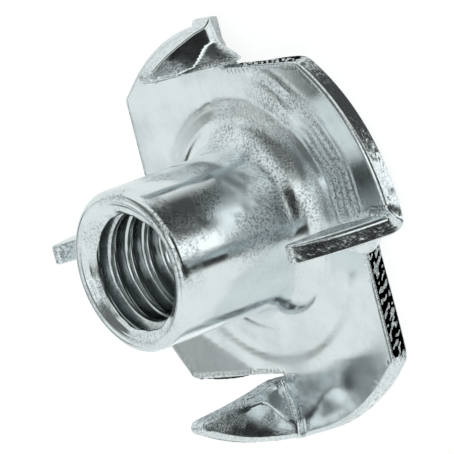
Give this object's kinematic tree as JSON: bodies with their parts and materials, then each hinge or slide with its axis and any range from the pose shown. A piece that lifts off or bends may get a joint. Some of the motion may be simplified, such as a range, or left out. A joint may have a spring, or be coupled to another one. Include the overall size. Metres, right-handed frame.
{
  "type": "tee nut",
  "caption": "Steel tee nut for wood, zinc plated: a tapped M6 barrel on a flat flange whose rim is cut and bent up into prongs that bite into the wood.",
  "frame": {"origin": "centre of the flat underside of the flange, on the thread axis", "axes": "+Z along the barrel, away from the flange; a prong stands on each of the +X, -Y, -X and +Y sides"},
  "size_m": [0.019, 0.019, 0.0085],
  "materials": {
    "zinc_plate": "bright zinc plating, bluish, smooth with fine speckle on drawn and bent surfaces"
  },
  "bodies": {
    "root": {"tee_nut": "zinc_plate"}
  },
  "joints": []
}
